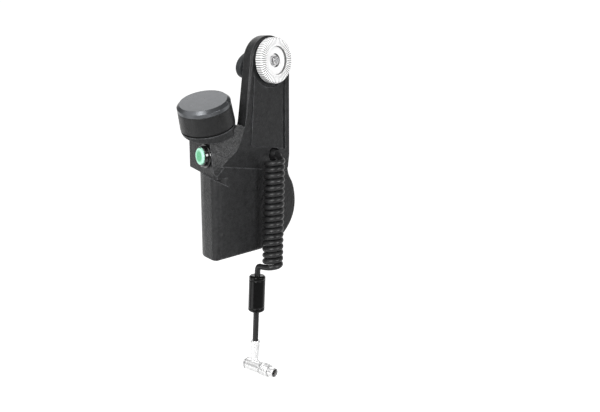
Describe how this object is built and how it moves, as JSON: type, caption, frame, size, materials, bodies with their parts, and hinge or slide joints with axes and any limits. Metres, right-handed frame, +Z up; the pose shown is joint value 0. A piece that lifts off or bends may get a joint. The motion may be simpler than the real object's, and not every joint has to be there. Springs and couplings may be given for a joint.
{
  "type": "camera hand grip controller",
  "caption": "Hand grip for a camera with an arm, toothed rosette, clamp knob, tilted dial, push button and a coiled lead to a right-angle plug.",
  "frame": {"origin": "centre of the rosette's mating face", "axes": "+X leaves the rosette's teeth, -Y is the front with the dial and the button, +Z is up along the arm"},
  "size_m": [0.0604, 0.0946, 0.2439],
  "materials": {
    "housing": "fine texture",
    "cover": "fine texture",
    "rosette": "machined, clear anodised",
    "screws": "satin",
    "dial_drum": "matt black anodised",
    "dial_top": "satin with a bright bevel",
    "seal": "matt",
    "spring": "drawn wire",
    "steel_case": "pressed",
    "button_black": "polished",
    "button_green": "translucent mint green",
    "board": "solder mask",
    "chips": "moulded",
    "nylon": "natural",
    "brass": "turned",
    "cord": "satin sheath",
    "ferrite": "moulded",
    "knob": "fine texture",
    "plug_metal": "satin chrome",
    "insert": "moulded"
  },
  "bodies": {
    "grip": {"near_housing": "housing", "far_housing": "housing", "arm_cover": "cover", "housing_screws": "screws", "rosette": "rosette", "rosette_screws": "screws", "dial_bushing": "brass", "dial_nut": "screws", "dial_seal": "seal", "centring_spring": "spring", "dial_encoder": "steel_case", "button_ring": "button_black", "button_barrel": "button_black", "button_nut": "brass", "button_switch": "chips", "circuit_board": "board", "board_parts": "chips", "board_socket": "nylon", "board_screws": "screws", "cable_gland": "cord", "cord_entry": "cord", "cord_coil": "cord", "cord_tail": "cord", "ferrite_bead": "ferrite", "plug_nut": "plug_metal", "plug_elbow": "plug_metal", "plug_rear_cap": "plug_metal", "plug_shell": "plug_metal", "plug_insert": "insert", "plug_pins": "brass"},
    "dial": {"dial_body": "dial_drum", "dial_cap": "dial_top", "dial_shaft": "screws", "dial_grub_screw": "screws"},
    "button": {"button_cap": "button_green", "button_plunger": "nylon"},
    "clamp_slider": {"glide_bush": "nylon"},
    "clamp": {"clamp_knob": "knob", "clamp_bolt": "screws", "clamp_clip": "screws"},
    "release": {"plug_sleeve": "plug_metal"}
  },
  "joints": [
    {"name": "dial_turn", "type": "hinge", "parent": "grip", "child": "dial", "pos_m": [-0.0235, -0.0482, -0.0281], "axis": [0.1501, -0.3452, 0.9265], "range_deg": [-45, 45], "stiffness_Nm_per_rad": 0.05},
    {"name": "button_press", "type": "slide", "parent": "grip", "child": "button", "axis": [0.2605, 0.9655, 0], "range_m": [0, 0.0012], "stiffness_N_per_m": 800},
    {"name": "clamp_slide", "type": "slide", "parent": "grip", "child": "clamp_slider", "axis": [1, 0, 0], "range_m": [0, 0.0039]},
    {"name": "clamp_turn", "type": "hinge", "parent": "clamp_slider", "child": "clamp", "pos_m": [-0.02, 0, 0], "axis": [1, 0, 0], "continuous": true},
    {"name": "plug_release", "type": "slide", "parent": "grip", "child": "release", "axis": [-1, 0, 0], "range_m": [0, 0.0015], "stiffness_N_per_m": 300}
  ]
}
